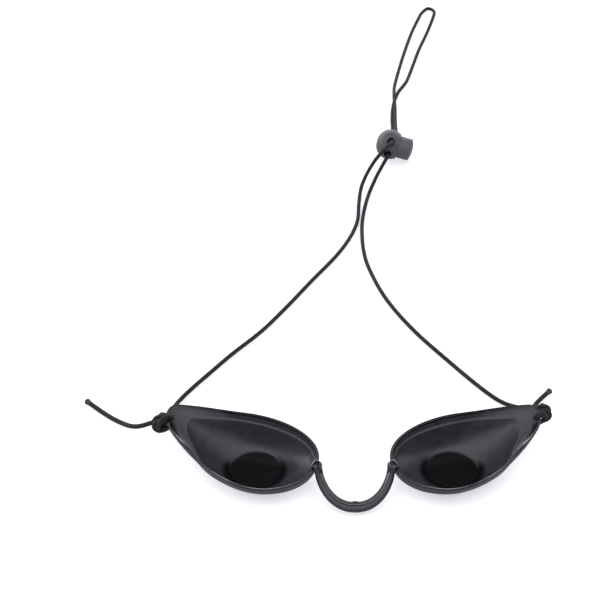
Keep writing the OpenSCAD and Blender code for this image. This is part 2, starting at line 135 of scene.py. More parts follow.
def closed_skin(name, rings, material, uv_along=None):
    """A closed mesh from rings of equally many points. A pole closes each end. With uv_along,
    the UV map runs once round the rings, and along them by those values."""
    rings = np.asarray(rings, float)
    n, m = rings.shape[:2]
    points = np.concatenate([rings.reshape(-1, 3), [rings[0].mean(0)], [rings[-1].mean(0)]]) * MM
    first_pole, last_pole = n * m, n * m + 1
    faces, uvs = [], []
    along = np.zeros(n) if uv_along is None else uv_along
    for i in range(n - 1):
        for k in range(m):
            j = (k + 1) % m
            faces.append((i * m + k, i * m + j, (i + 1) * m + j, (i + 1) * m + k))
            uvs += [(k / m, along[i]), ((k + 1) / m, along[i]),
                    ((k + 1) / m, along[i + 1]), (k / m, along[i + 1])]
    for k in range(m):
        j = (k + 1) % m
        faces.append((first_pole, j, k))
        uvs += [((k + 0.5) / m, along[0]), ((k + 1) / m, along[0]), (k / m, along[0])]
        faces.append((last_pole, (n - 1) * m + k, (n - 1) * m + j))
        uvs += [((k + 0.5) / m, along[-1]), (k / m, along[-1]), ((k + 1) / m, along[-1])]
    mesh = bpy.data.meshes.new(name)
    mesh.from_pydata(points.tolist(), [], faces)
    if uv_along is not None:
        layer = mesh.uv_layers.new(name="UVMap")
        layer.data.foreach_set("uv", np.array(uvs, np.float32).ravel())
    return finished(name, mesh, material)


def finished(name, mesh, material, sharp_from=SHARP_FROM):
    """Puts a mesh in the scene as a smooth piece with its faces outwards."""
    if signed_volume(mesh) < 0:
        mesh.flip_normals()
    mesh.materials.clear()
    mesh.materials.append(material)
    mesh.shade_smooth()
    mesh.set_sharp_from_angle(angle=math.radians(sharp_from))
    mesh.validate()
    obj = bpy.data.objects.new(name, mesh)
    bpy.context.scene.collection.objects.link(obj)
    return obj


def signed_volume(mesh):
    mesh.calc_loop_triangles()
    points = np.array([v.co for v in mesh.vertices], float)
    corners = points[np.array([t.vertices for t in mesh.loop_triangles])]
    return np.einsum("ij,ij->i", corners[:, 0], np.cross(corners[:, 1], corners[:, 2])).sum() / 6


def taken_as_mesh(obj, name, material, sharp_from=SHARP_FROM):
    """What the object's modifiers make, as a plain piece. The object itself is removed."""
    depsgraph = bpy.context.evaluated_depsgraph_get()
    mesh = bpy.data.meshes.new_from_object(obj.evaluated_get(depsgraph))
    bpy.data.objects.remove(obj)
    mesh.name = name
    return finished(name, mesh, material, sharp_from)


def cut_away(obj, cutters, material, sharp_from):
    """The object less the cutters, as a plain piece of the same name."""
    name = obj.name
    for cutter in cutters:
        cut = obj.modifiers.new("cut", "BOOLEAN")
        cut.operation = "DIFFERENCE"
        cut.solver = "EXACT"
        cut.object = cutter
    obj.name = name + "_blank"
    piece = taken_as_mesh(obj, name, material, sharp_from)
    for cutter in cutters:
        bpy.data.objects.remove(cutter)
    return piece


def placed(obj, matrix):
    """Moves the piece's mesh by a matrix in millimetres. The object stays at the origin."""
    scale = Matrix.Scale(MM, 4)
    obj.data.transform(scale @ matrix @ scale.inverted())
    obj.data.update()
    return obj


def turned(degrees, axis):
    return Matrix.Rotation(math.radians(degrees), 4, axis)


def mirrored(points):
    """The same points on the other side of the nose."""
    return np.asarray(points, float) * [-1, 1, 1]


def lathe(name, profile, material, segments):
    """A turned piece round the X axis. The profile's points are (x, radius), both ends inside."""
    turn = np.linspace(0, 2 * np.pi, segments, endpoint=False)
    rings = [np.column_stack([np.full(segments, x), r * np.cos(turn), r * np.sin(turn)])
             for x, r in profile]
    return closed_skin(name, rings, material)


# ---- Materials ----

CLOUDS = 0.3, 0.7  # the values of a noise between which a surface changes
# Of a braid's tone, the yarns' share is painted shade, darker in the gaps between the yarns, and
# the rest is random wear
YARN_GAP_SHADE_SHARE, WEAR_SHARE = 0.6, 0.4  # of a braid's shade
YARN_DEPTH = 0.00012


def new_material(name, roughness, **constants):
    material = bpy.data.materials.new(name)
    material.use_nodes = True
    shader = material.node_tree.nodes["Principled BSDF"]
    shader.inputs["Roughness"].default_value = roughness
    for socket, value in constants.items():
        shader.inputs[socket.replace("_", " ")].default_value = value
    return material, material.node_tree, shader


def node(tree, kind, inputs=(), **settings):
    """A node with its settings, and its inputs by name or number, as values or as links."""
    made = tree.nodes.new(kind)
    for key, value in settings.items():
        setattr(made, key, value)
    for key, value in dict(inputs).items():
        if isinstance(value, bpy.types.NodeSocket):
            tree.links.new(value, made.inputs[key])
        else:
            made.inputs[key].default_value = value
    return made


def sums(tree, operation, a, b=0.0):
    return node(tree, "ShaderNodeMath", {0: a, 1: b}, operation=operation).outputs[0]


def ranged(tree, value, start, end, low=0.0, high=1.0):
    """Goes from low to high as the value goes from start to end."""
    return node(tree, "ShaderNodeMapRange", {
        "Value": value, "From Min": start, "From Max": end,
        "To Min": low, "To Max": high}).outputs["Result"]


def mixed(tree, share, a, b):
    return node(tree, "ShaderNodeMix", {0: share, 2: a, 3: b}).outputs[0]


def mixed_colour(tree, share, a, b, **settings):
    return node(tree, "ShaderNodeMix", {0: share, 6: a, 7: b}, data_type="RGBA",
                **settings).outputs[2]


def graded(tree, value, stops):
    """A colour ramp over the value. Each stop is a place and a colour or a grey."""
    ramp = node(tree, "ShaderNodeValToRGB", {"Fac": value})
    elements = ramp.color_ramp.elements
    elements.remove(elements[1])
    for i, (place, colour) in enumerate(stops):
        element = elements[0] if i == 0 else elements.new(place)
        element.position = place
        element.color = (*((colour,) * 3 if np.isscalar(colour) else colour), 1)
    return ramp.outputs["Color"]


def noise(tree, scale, detail, roughness=0.55):
    where = node(tree, "ShaderNodeTexCoord").outputs["Object"]
    return node(tree, "ShaderNodeTexNoise", {"Vector": where, "Scale": scale, "Detail": detail,
                                             "Roughness": roughness}).outputs["Fac"]


def bumped(tree, shader, height, distance):
    made = node(tree, "ShaderNodeBump", {"Height": height, "Distance": distance})
    tree.links.new(made.outputs["Normal"], shader.inputs["Normal"])


def moulded_plastic(name, dark, light, roughness, flow_scale, grain_scale, grain_depth):
    """Moulded plastic: its colour and gloss cloud a little where the melt flowed, and a fine
    grain covers it."""
    material, tree, shader = new_material(name, sum(roughness) / 2, IOR=1.5)
    flow = noise(tree, flow_scale, 4)
    tree.links.new(graded(tree, flow, zip(CLOUDS, (dark, light))), shader.inputs["Base Color"])
    tree.links.new(ranged(tree, flow, *CLOUDS, *roughness), shader.inputs["Roughness"])
    bumped(tree, shader, noise(tree, grain_scale, 2), grain_depth)
    return material


def braided_cover(name, dark, light, carriers, pitch):
    """The woven cover of an elastic cord: yarns wind round it both ways and pass over and under
    each other. Its colour follows the yarns' height, darker in the gaps between them, which is
    painted shade, and random wear clouds it. The carriers are the yarns each way, and the pitch
    is in centimetres."""
    material, tree, shader = new_material(name, 0.72, Specular_IOR_Level=0.22)
    uv = node(tree, "ShaderNodeUVMap", uv_map="UVMap").outputs["UV"]
    parts = node(tree, "ShaderNodeSeparateXYZ", {0: uv})
    round_it = sums(tree, "MULTIPLY", parts.outputs["X"], carriers * math.tau)
    along = sums(tree, "MULTIPLY", parts.outputs["Y"], math.tau / pitch)
    one_way = sums(tree, "SINE", sums(tree, "ADD", round_it, along))
    other_way = sums(tree, "SINE", sums(tree, "SUBTRACT", round_it, along))
    yarns = sums(tree, "ABSOLUTE", sums(tree, "ADD", one_way, other_way))
    height = sums(tree, "MULTIPLY", yarns, 0.5)
    wear = noise(tree, 900, 3)
    # Painted shade: the colour is darker where the yarns lie low, in the gaps between them
    shade = sums(tree, "ADD", sums(tree, "MULTIPLY", height, YARN_GAP_SHADE_SHARE),
                 sums(tree, "MULTIPLY", wear, WEAR_SHARE))
    tree.links.new(graded(tree, shade, [(0.15, dark), (0.75, light)]),
                   shader.inputs["Base Color"])
    bumped(tree, shader, height, YARN_DEPTH)
    return material


def drawn_wire(name):
    """Bright spring wire with fine lines from the die."""
    material, tree, shader = new_material(name, 0.3, Metallic=1.0)
    lines = noise(tree, 4000, 2)
    tree.links.new(graded(tree, lines, zip(CLOUDS, (0.5, 0.68))), shader.inputs["Base Color"])
    bumped(tree, shader, lines, 0.00001)
    return material


# Painted shade: the window on the bowl's floor is coloured deep black for the dark surroundings it
# mirrors
PAINTED_SHADE_BLACK = (0.0035, 0.0035, 0.0042, 1)
POLISHED = (0.0050, 0.0049, 0.0060, 1)
BLASTED = (0.0230, 0.0224, 0.0262), (0.0370, 0.0362, 0.0425)
SHADE_WINDOW_SHINE, POLISHED_SHINE, BLASTED_SHINE = 0.16, 0.17, (0.34, 0.46)
# Where the finishes and the window of painted shade meet on a cup, in metres
RIM_PLANE_Z, RIM_PLANE_SLOPE = 0.0144, 0.18  # the rim's height at y = 0, and how it rises with y
BLASTED_BELOW = 0.0005, 0.0011  # how far below the rim's plane the blasting begins
OUTSIDE_FACES = -0.25, -0.05  # a normal's Z, where the outside turns into the inside
SHADE_WINDOW_AT, SHADE_WINDOW_HALF = (0.044, 0.0018), (0.0148, 0.0114)  # an ellipse, by X and Y
SHADE_WINDOW_EDGE = 0.80, 1.12  # where the window ends, as the square of its distance by half its size


def cup_plastic(name):
    """Black plastic in two finishes and a painted shade: the rim and the outside are polished,
    the bowl below the rim was blasted and is duller, with blotches, and the middle of the bowl is
    a polished window painted deep black, painted shade for the dark surroundings its floor
    mirrors."""
    material, tree, shader = new_material(name, 0.3, IOR=1.43)
    coordinates = node(tree, "ShaderNodeTexCoord").outputs
    parts = node(tree, "ShaderNodeSeparateXYZ", {0: coordinates["Object"]})
    x, y, z = (parts.outputs[axis] for axis in "XYZ")
    rim = sums(tree, "ADD", sums(tree, "MULTIPLY", y, RIM_PLANE_SLOPE), RIM_PLANE_Z)
    below_rim = ranged(tree, sums(tree, "SUBTRACT", rim, z), *BLASTED_BELOW)
    facing = node(tree, "ShaderNodeSeparateXYZ", {0: coordinates["Normal"]}).outputs["Z"]
    blasted = sums(tree, "MULTIPLY", below_rim, ranged(tree, facing, *OUTSIDE_FACES))
    from_middle = (sums(tree, "SUBTRACT", sums(tree, "ABSOLUTE", x), SHADE_WINDOW_AT[0]),
                   sums(tree, "SUBTRACT", y, SHADE_WINDOW_AT[1]))
    squares = [sums(tree, "POWER", sums(tree, "DIVIDE", away, half), 2.0)
               for away, half in zip(from_middle, SHADE_WINDOW_HALF)]
    # The window is painted shade: inside this ellipse the bowl's floor is coloured deep black, not
    # blasted grey
    window = ranged(tree, sums(tree, "ADD", *squares), *SHADE_WINDOW_EDGE)
    blotches = noise(tree, 230, 5, 0.6)
    dull = ranged(tree, blotches, 0.35, 0.65, *BLASTED_SHINE)
    shine = mixed(tree, blasted, POLISHED_SHINE, mixed(tree, window, SHADE_WINDOW_SHINE, dull))
    tree.links.new(shine, shader.inputs["Roughness"])
    wall = graded(tree, blotches, zip(CLOUDS, BLASTED))
    skin = mixed_colour(tree, blasted, POLISHED, mixed_colour(tree, window, PAINTED_SHADE_BLACK, wall))
    tree.links.new(skin, shader.inputs["Base Color"])
    bumped(tree, shader, blotches, 0.00005)
    return material


CUP_BLACK = cup_plastic("cup_gloss_black")
STRAP_BLACK = moulded_plastic(
    "bridge_satin_black", (0.0050, 0.0049, 0.0060), (0.0090, 0.0088, 0.0104),
    roughness=(0.17, 0.25), flow_scale=120, grain_scale=1500, grain_depth=0.00001)
CORD_BRAID = braided_cover("cord_black_braid", (0.004, 0.004, 0.0045), (0.026, 0.026, 0.028),
                           carriers=8, pitch=0.22)
CORD_MELT = moulded_plastic(
    "cord_melted_end", (0.008, 0.008, 0.009), (0.016, 0.016, 0.018),
    roughness=(0.4, 0.6), flow_scale=400, grain_scale=1800, grain_depth=0.00006)
LOCK_GREY = moulded_plastic(
    "lock_matte_black", (0.040, 0.040, 0.043), (0.052, 0.051, 0.056),
    roughness=(0.46, 0.56), flow_scale=200, grain_scale=2200, grain_depth=0.00004)
BUTTON_GREY = moulded_plastic(
    "button_matte_black", (0.050, 0.050, 0.054), (0.064, 0.063, 0.069),
    roughness=(0.46, 0.56), flow_scale=200, grain_scale=2200, grain_depth=0.00004)
SPRING_STEEL = drawn_wire("spring_wire")


# ---- The cord ----

CORD_D = 2.2
STRAND_R = 1.0  # the pulled strands are thinner than the cord at rest
KNOT_STRAND_R, TAIL_LEFT_R, TAIL_RIGHT_R = 1.12, 1.1, 1.06
STRAND_STEP, KNOT_STEP, TAIL_STEP = 1.5, 0.7, 0.8  # between the points of their smooth lines
LOCK_AT = np.array([27.9, 235, 10.4747])
LOCK_YAW, LOCK_PITCH, LOCK_ROLL = 10, 20, 10
CORD_X, HOLE_PITCH, HOLE_D = 0.6, 8, 3.8  # the two cord holes, one above the other
LOCK_CLEAR, LOCK_SLIDE = 9.5, 6  # what the lock takes up behind its middle, and its way forwards
LOCK_FRAME = (Matrix.Translation(LOCK_AT) @ turned(-LOCK_YAW, "Z") @ turned(-LOCK_PITCH, "X")
              @ turned(LOCK_ROLL, "Y"))

STRAND_LEFT = [
    (-85.8, 30.2, 7.8), (-84.4, 33.4, 4.9), (-83.2, 38, 2.6), (-81.4, 43.5, 1.5), (-76, 52, 1.1),
    (-67, 63.5, 1.1), (-57, 76, 1.1), (-43, 92, 1.1), (-31, 109, 1.1), (-18, 129, 1.1),
    (-5, 148.5, 1.1), (3, 164, 1.1), (7.4, 178, 1.1), (8.6, 192, 1.1), (10, 204, 1.8),
    (12, 210.6, 3.6), (14.6, 215.6, 6.2), (18, 219.4, 10.2), (21.6, 221.2, 14.6),
    (25, 223.4, 17.4)]
LOOP_OUT = [
    (32.4, 262, 5.4), (32.9, 272, 3.7), (33.3, 282, 3.4), (33.4, 291, 3.4), (33.6, 297, 3),
    (34, 303, 1.8), (34.8, 310, 1.1), (38.2, 326.5, 1.1), (41.9, 343, 1.1), (48.5, 369, 1.1),
    (54.5, 388, 1.1), (57.5, 396, 1.1), (62, 401.5, 1.1)]
LOOP_BACK = [
    (65.8, 397.5, 1.1), (64, 388, 1.1), (58.5, 369, 1.1), (52.5, 350.5, 1.1), (47.7, 333, 1.1),
    (43, 316, 1.1), (40, 309, 1.1), (36.9, 303, 1.1), (34.9, 297, 1.1), (33.3, 291, 1.1),
    (31.9, 282, 1.1), (31.2, 272, 1.1), (31, 262, 1.4)]
STRAND_RIGHT = [
    (24.8, 222.8, 9.2), (22.4, 219.6, 6.4), (19.6, 215, 3.7), (17.4, 210, 2), (15.4, 204.5, 1.1),
    (13, 195, 1.1), (10.8, 183, 1.1), (9.6, 170, 1.1), (10, 152, 1.1), (13, 136, 1.1),
    (20.5, 114.5, 1.1), (33, 92, 1.1), (49, 70, 1.1), (61.5, 54, 1.1), (70, 45, 1.1),
    (77, 41, 1.4), (82, 38.6, 3.2), (85.4, 36.2, 6.2), (86.8, 33.8, 9.6), (86.9, 31.6, 12.6)]
TAIL_LEFT = [
    (-95, 23.6, 8), (-98.6, 24.4, 6.2), (-102, 26.4, 4.4), (-105.4, 29.2, 2.8),
    (-109, 32.2, 1.6), (-112.6, 35, 1.2), (-117.4, 38.8, 1.2), (-122.4, 42.9, 1.5)]
TAIL_RIGHT = [
    (84, 28.6, 10.8), (84, 30, 7.2), (84.2, 33, 3.7), (84.6, 37.4, 1.6), (86.2, 42, 1.2),
    (89.4, 46, 1.2), (92.9, 49.5, 1.5)]

KNOT_AT = np.array([87.3, 21, 12.256])
KNOT_RIGHT_AT = np.array([86.5, 25.5, 14.4])  # drawn up against the tip of the ear
KNOT_HALF = 4.4  # half the length of the core
KNOT_START = -2.4  # where the first turn begins along the core
KNOT_PITCH = 2.75  # from turn to turn
KNOT_TURNS_LEFT, KNOT_TURNS_RIGHT = 2, 1.75
KNOT_R = 2.35  # from the core's line to the line of the turns, drawn tight
# Through the core, over the ear tip and down its hole. The left knot is drawn on the right.
KNOT_LEFT_EYE = [
    (87.3, 25.4, 12.26), (87.3, 23.8, 12.26), (87.3, 18.9, 12.3), (87.4, 17.3, 13.4),
    (87, 16.9, 15.8), (85.9, 17.2, 18.1), (84.3, 18, 19.1), (82.7, 19, 19), (81.66, 19.53, 17.4),
    (81.66, 19.53, 15), (82.1, 19.4, 13), (83.4, 19.1, 11.4), (85.3, 18.8, 10.3)]
KNOT_RIGHT_EYE = [
    (86.5, 29.9, 14.4), (86.5, 27.6, 14.4), (86.5, 23.4, 14.5), (86.7, 21.7, 15.4),
    (86.4, 20.7, 17.4), (85.1, 20.3, 19.3), (83.2, 19.9, 19.6), (81.8, 19.6, 18.2),
    (81.66, 19.53, 15.2), (82.6, 20.3, 12.6), (84.4, 22, 11.8)]

MELTED_END = [  # how far each ring lies beyond the end of the cord, and its radius
    (-0.6, 0.85), (-0.1, 1.13), (0.7, 1.2), (1.3, 1.36), (1.8, 1.52), (2.05, 1.54), (2.2, 1.4),
    (2.25, 0.9)]


def in_lock(y, side):
    """A point on one of the two cords in the lock, so far along it from the lock's middle."""
    return np.array((LOCK_FRAME @ Vector((CORD_X, y, side * HOLE_PITCH / 2)))[:])


def tube(name, line, radius, material, sides=16):
    """A round tube along the line with domed ends. The radius is one value or one a point. The
    UV map runs once round the tube, and along it in centimetres."""
    radii = np.broadcast_to(np.asarray(radius, float), len(line))
    tangents = np.gradient(line, axis=0)
    tangents /= np.linalg.norm(tangents, axis=1)[:, None]
    side = np.array([0.02, 0.03, 1.0])  # upwards, and never quite along the line
    angles = np.linspace(0, 2 * np.pi, sides, endpoint=False)
    circles = []
    for t in tangents:
        side = unit(side - t * side.dot(t))
        circles.append(np.outer(np.cos(angles), side)
                       + np.outer(np.sin(angles), np.cross(t, side)))
    rings = [p + r * c for p, r, c in zip(line, radii, circles)]
    dome = np.radians([30, 60, 80])

    def domed(end, way):
        return [line[end] + way * tangents[end] * radii[end] * np.sin(a)
                + radii[end] * np.cos(a) * circles[end] for a in dome]

    rings = domed(0, -1)[::-1] + rings + domed(-1, 1)
    along = way_along(line)
    along = np.concatenate([along[0] - radii[0] * np.sin(dome[::-1]), along,
                            along[-1] + radii[-1] * np.sin(dome)])
    return closed_skin(name, rings, material, uv_along=along / 10)


def lying_lower(line, radius):
    """The route is drawn for the cord at rest, so a thinner tube lies lower by the difference."""
    lowered = line - [0, 0, CORD_D / 2 - radius]
    lowered[:, 2] = np.maximum(lowered[:, 2], radius)
    return lowered


def strand_route():
    """From the left knot through the lock, round the loop, back and on to the right knot."""
    knot_end = KNOT_AT + [0, KNOT_HALF, 0]
    # Enough points to keep the line straight over all of the lock's way
    straight = [-LOCK_CLEAR, -4, 2, 8, 12, LOCK_CLEAR + LOCK_SLIDE]
    return np.concatenate([
        mirrored([knot_end, knot_end + [-0.3, CORD_D, -1.2]]), STRAND_LEFT,
        [in_lock(y, 1) for y in straight], LOOP_OUT, LOOP_BACK,
        [in_lock(y, -1) for y in straight[::-1]], STRAND_RIGHT,
        [KNOT_RIGHT_AT + [0, KNOT_HALF, 0]]])


def knot_line(at, eye, turns):
    """In through the core, over the ear tip, down through the hole and then round the core."""
    angles = math.tau * turns * np.linspace(0, 1, 49)
    wound = at + np.column_stack([KNOT_R * np.sin(angles),
                                  KNOT_START + KNOT_PITCH * angles / math.tau,
                                  -KNOT_R * np.cos(angles)])
    return np.concatenate([smooth_line(eye + [wound[0]], KNOT_STEP)[:-1], wound])


def melted_end(name, line):
    """Where the cord was cut, its end is melted into a flared plug."""
    way = unit(line[-1] - line[-4])
    points = np.array([line[-1] + way * forward for forward, _ in MELTED_END])
    plug = tube(name, points, [r for _, r in MELTED_END], CORD_MELT, 20)
    plug.data.uv_layers.remove(plug.data.uv_layers[0])
    return plug


strand_line = lying_lower(smooth_line(strand_route(), STRAND_STEP), STRAND_R)
knot_right_line = knot_line(KNOT_RIGHT_AT, KNOT_RIGHT_EYE, KNOT_TURNS_RIGHT)
knot_left_line = mirrored(knot_line(KNOT_AT, KNOT_LEFT_EYE, KNOT_TURNS_LEFT))
tail_left_line = smooth_line(np.concatenate(
    [[knot_left_line[-1], knot_left_line[-1] - [CORD_D, 0, 0]], TAIL_LEFT]), TAIL_STEP)
tail_right_line = smooth_line(np.concatenate([[knot_right_line[-1]], TAIL_RIGHT]), TAIL_STEP)

strands = tube("cord_strands", strand_line, STRAND_R, CORD_BRAID)
knot_right = tube("knot_right", knot_right_line, KNOT_STRAND_R, CORD_BRAID, 20)
knot_left = tube("knot_left", knot_left_line, KNOT_STRAND_R, CORD_BRAID, 20)
tail_right = tube("tail_right", tail_right_line, TAIL_RIGHT_R, CORD_BRAID)
tail_left = tube("tail_left", tail_left_line, TAIL_LEFT_R, CORD_BRAID)
tail_end_right = melted_end("tail_end_right", tail_right_line)
tail_end_left = melted_end("tail_end_left", tail_left_line)


# ---- The eye cups ----

NOSE_REACH, EAR_REACH, EAR_RISE, BROW_REACH, CHEEK_REACH = 28.5, 40.5, 21, 22.8, 16.6
DISC_PITCH, DISC_D, DISC_RISE, DISC_STEP, DISC_MARGIN = 88, 20.5, 1.6, 0.6, 0.5
RIM_HEIGHT, RIM_SLOPE, RIM_THICKNESS = 14.4, math.tan(math.radians(10.2)), 1.4
WALL, FLOOR_WALL, FLOOR_D = 1.3, 1.4, 19.4
FLOOR_HALF_X, FLOOR_HALF_Y = 12.4, 11.4  # of the flat floor inside, which is an ellipse
BOWL_TURN, CHEEK_FOOT = 66, 44  # degrees
COLLAR_HEIGHT, LIP_HEIGHT, LIP_EDGE = 3.8, 0.8, 0.75
BROW_BAND, CHEEK_BAND, EAR_BAND, EAR_SPREAD = 2.7, 1.1, 8.6, 21
EDGE_WIDTH, LEDGE_WIDTH, LEDGE_FALL = 1.2, 0.9, 0.1
EAR_HOLE_INSET, EAR_HOLE_D = 3.2, 2.6
EAR_ANGLE = math.degrees(math.atan2(EAR_RISE, EAR_REACH))
BROW_ANGLE = 105  # where the collar is highest, in degrees
LIP_GAIN, LIP_SLOPE, LIP_SLOPE_GAIN = 0.4, 0.25, 0.34  # the lip's bevel, steeper at both ends
BROW_SLOPE = 0.23  # how the rim's top falls towards the bowl on the brow side
BOWL_RINGS, BOWL_TOP = 20, 0.93  # the last ring lies below the bowl's edge
EASING, EASING_GAIN = 2, 38  # degrees round the cup over which a ring is evened out
OUTLINE_FINENESS = 4
HOLE_MOUTH = 0.3  # what the ear hole's mouth is wider by, all round


def bezier(p, t):
    p = np.array(p, float)
    return (p[0] * (1 - t) ** 3 + 3 * p[1] * t * (1 - t) ** 2 + 3 * p[2] * t * t * (1 - t)
            + p[3] * t ** 3)


def rim_outline():
    """The rim of the right cup, seen from above, with the cup's middle at 0, 0."""
    corner = np.array([EAR_REACH - 5.5, EAR_RISE + 5.3])
    cheek = np.array([EAR_REACH - 2, EAR_RISE - 6.5])
    brow, lower, nose = [4, BROW_REACH - 0.8], [-4, -CHEEK_REACH], [-NOSE_REACH, 0]
    curves = [
        (14, [nose, [-NOSE_REACH, 10], [-14, BROW_REACH - 3.3], brow]),
        (12, [brow, [14, BROW_REACH + 0.6], corner - [9, 0.4], corner]),
        (10, [corner, corner + [4, 0.2], [EAR_REACH + 1.2, EAR_RISE + 1], cheek]),
        (16, [cheek, cheek - [8, 13], [14, -CHEEK_REACH], lower]),
        (14, [lower, [-18, -CHEEK_REACH], [-NOSE_REACH, -9], nose])]
    return [bezier(c, k / (steps * OUTLINE_FINENESS)) for steps, c in curves
            for k in range(steps * OUTLINE_FINENESS)]


def brow_share(a):
    """How much of the brow side there is at this angle: 1 at the brow and 0 at the cheek."""
    return (1 + math.cos(math.radians(a - BROW_ANGLE))) / 2


def band(a):
    """The rim's width from the bowl's edge outwards at this angle."""
    return mix(CHEEK_BAND, BROW_BAND, brow_share(a)) + EAR_BAND * bell(a - EAR_ANGLE, EAR_SPREAD)


def rim_z(y):
    return RIM_HEIGHT + RIM_SLOPE * y


def cup_section(p):
    """The cup's section from the middle of the floor over the rim to the middle of the disc.
    Each point has its distance from the cup's axis, its height, and how far that axis has moved
    from the cup's middle to the disc's centre."""
    a = math.degrees(math.atan2(p[1], p[0]))
    reach, top, width = np.hypot(*p), rim_z(p[1]), band(a)
    brow = brow_share(a)
    drop = mix(LIP_HEIGHT, COLLAR_HEIGHT, brow ** 0.6)
    collar = min(1, brow * 2)  # the ledge fades out towards the cheek, where the lip is plain
    flange = bell(a - EAR_ANGLE, 1.3 * EAR_SPREAD)  # near the ear the flange runs into the bowl
    lip = (1 - collar) * (1 - flange)  # the plain lip is eased off into the bowl
    ledge = min(LEDGE_WIDTH, 0.3 * width) * collar
    inner = width + LIP_GAIN * lip
    top_in = min(EDGE_WIDTH, mix(inner - 0.05, 0.6 * width, collar))
    edge = mix(RIM_THICKNESS, LIP_EDGE, lip)
    way_x, way_y = p / np.hypot(*p)
    lip_slope = LIP_SLOPE + LIP_SLOPE_GAIN * way_x ** 4
    top_fall = (lip * lip_slope * (top_in - 0.2)
                + BROW_SLOPE * top_in * max(0, way_y) * collar)

    def at(inwards, down):
        return np.array([reach - inwards, top - down, 0.0])

    def dome(r, z, edge, s):
        low, full = (math.radians(v) for v in (mix(CHEEK_FOOT, 0, brow), BOWL_TURN))
        turn = mix(low, full, s)
        grow = (math.sin(turn) - math.sin(low)) / (math.sin(full) - math.sin(low))
        rise = (math.cos(low) - math.cos(turn)) / (math.cos(low) - math.cos(full))
        return np.array([mix(r, edge[0], grow), mix(z, edge[1], rise), 1 - grow])

    bowl_edge = at(inner, drop)
    outer_edge = at(max(width - WALL, 0.1 * width), drop + RIM_THICKNESS)
    floor_z = DISC_STEP + FLOOR_WALL
    foot_r = DISC_D / 2 + DISC_MARGIN
    up = np.linspace(0, BOWL_TOP, BOWL_RINGS - 2)
    flat = 1 / math.hypot(math.cos(math.radians(a)) / FLOOR_HALF_X,
                          math.sin(math.radians(a)) / mix(FLOOR_D / 2, FLOOR_HALF_Y, brow))
    inside = [np.array([flat * s, floor_z, 1]) for s in (0.3, 0.65, 0.9)]
    inside += [dome(flat, floor_z, bowl_edge, s) for s in up]
    outside = [dome(foot_r, DISC_STEP, outer_edge, s) for s in up[:0:-1]]
    # The corners are softer where the flange runs into the bowl
    rim = rounded(
        [inside[-1], bowl_edge, at(inner - ledge, drop - LEDGE_FALL),
         at(top_in, top_fall), at(mix(top_in, 0.2, lip) - 0.02, 0.2 * top_fall * (1 - lip)),
         at(0, 0), at(0, edge), outer_edge, outside[0]],
        [mix(0.5, 2.6, flange), mix(0.5, 2.2, flange), mix(0.6, 1.2, flange) * (1 - 0.8 * lip),
         0.06, 0.3, 0.5, 1.6], 6)
    foot = rounded(
        [outside[-1]] + [np.array([r, z, 1]) for r, z in (
            (foot_r, DISC_STEP), (DISC_D / 2, DISC_STEP), (DISC_D / 2, 0), (DISC_D / 2 - 2, 0))],
        [0.3, 0.25, 0.3], 4)
    bottom = [np.array([DISC_D / 2 * s, 0, 1]) for s in (0.5, 0.15)]
    return np.array(inside[:-1] + list(rim) + outside[1:-1] + list(foot) + bottom)


def softened_bowl(outline, sections):
    """The rim's corner at the ear fades out down the bowl: each ring below the bowl's edge is
    evened out round the cup, the more so the lower it lies."""
    angles = np.unwrap(np.arctan2(outline[:, 1], outline[:, 0]))
    apart = angles[:, None] - angles[None, :]
    apart = np.abs((apart + np.pi) % (2 * np.pi) - np.pi)
    share = np.abs(np.gradient(angles))
    eased = sections.copy()
    for i in range(BOWL_RINGS):
        depth = 1 - i / BOWL_RINGS
        reach = math.radians(EASING + EASING_GAIN * depth ** 0.8)
        weights = bell(apart, reach) * share[None, :]
        weights /= weights.sum(1)[:, None]
        blend = min(1, depth * 5)
        eased[:, i] = mix(sections[:, i], weights @ sections[:, i], blend)
    return eased


def cup_rings():
    """The rings of the right cup, from the middle of its floor to the middle of its disc."""
    outline = np.array(rim_outline())
    sections = softened_bowl(outline, np.array([cup_section(p) for p in outline]))
    ways = np.array([unit(p) for p in outline])
    rings = np.empty((sections.shape[1], len(outline), 3))
    rings[:, :, 0] = (sections[:, :, 0] * ways[:, None, 0]).T + DISC_PITCH / 2
    rings[:, :, 1] = (sections[:, :, 0] * ways[:, None, 1] + DISC_RISE * sections[:, :, 2]).T
    rings[:, :, 2] = sections[:, :, 1].T
    return rings


def ear_hole_cutter(side):
    """The drill for the cord hole, which is a little wider at its mouth."""
    tip = np.array([EAR_REACH, EAR_RISE])
    hole = (math.hypot(*tip) - EAR_HOLE_INSET) * unit(tip)
    top, r = rim_z(EAR_RISE), EAR_HOLE_D / 2
    profile = [(top + 2, 0.3), (top + 2, r + HOLE_MOUTH), (top - 0.2, r + HOLE_MOUTH),
               (top - 0.5, r), (top - 3.4, r), (top - 9, r), (top - 9, 0.3)]
    cutter = lathe("drill", profile, CUP_BLACK, 48)
    upright = turned(-90, "Y")
    return placed(cutter, Matrix.Translation((side * (DISC_PITCH / 2 + hole[0]), hole[1], 0))
                  @ upright)


def make_cup(name, node_name, side):
    rings = cup_rings() if side > 0 else mirrored(cup_rings())
    cup = cut_away(closed_skin(name, rings, CUP_BLACK), [ear_hole_cutter(side)], CUP_BLACK, 50)
    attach(cup, "goggles")
    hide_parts(node_name)


make_cup("cup_right", "eye_cup_right", 1)
make_cup("cup_left", "eye_cup_left", -1)


# ---- The nose bridge ----

